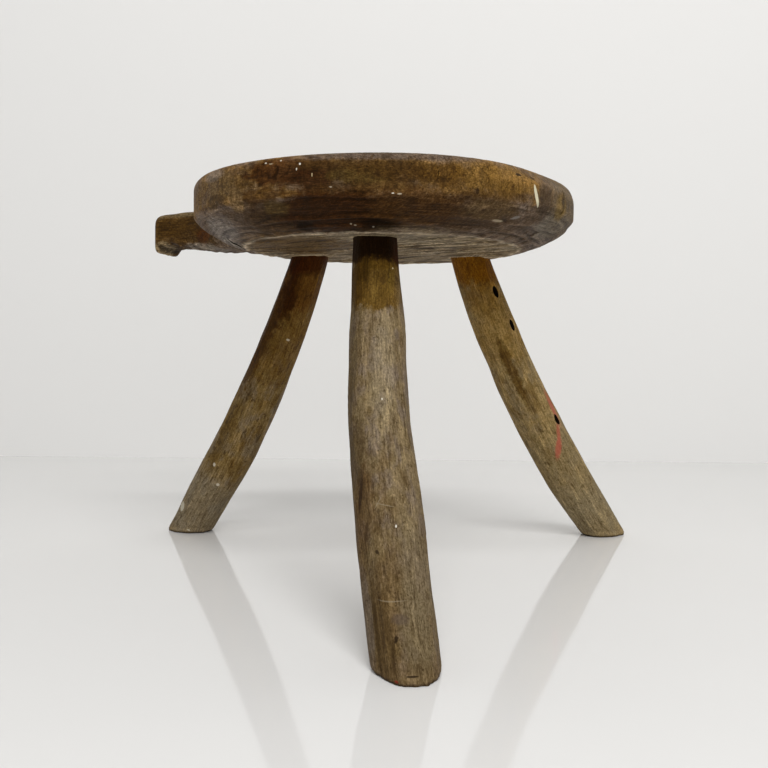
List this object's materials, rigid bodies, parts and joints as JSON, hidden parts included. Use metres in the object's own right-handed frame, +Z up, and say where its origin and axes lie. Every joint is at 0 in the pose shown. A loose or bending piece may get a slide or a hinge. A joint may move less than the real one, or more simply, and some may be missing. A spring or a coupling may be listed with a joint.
{
  "type": "tripod stool",
  "caption": "Low round hewn-wood stool with a short carved grip on its rim and bent, splayed branch legs wedged through the seat.",
  "frame": {"origin": "on the floor, at the centre of the stool's bounding box", "axes": "+Z up out of the seat, -Y towards the front leg, +X to the right as seen from the front leg's side; the grip points back and to the left"},
  "size_m": [0.4312, 0.4016, 0.2935],
  "materials": {
    "seat_wood": "hewn and worn, dark brown rim, greyed underside",
    "leg_wood": "shaved branch wood, dry and worn, golden brown to grey",
    "wedge_wood": "split hardwood, worn level with the seat"
  },
  "bodies": {
    "root": {"seat": "seat_wood", "leg_front": "leg_wood", "leg_left": "leg_wood", "leg_right": "leg_wood", "wedge_front": "wedge_wood", "wedge_left": "wedge_wood", "wedge_right": "wedge_wood"}
  },
  "joints": []
}
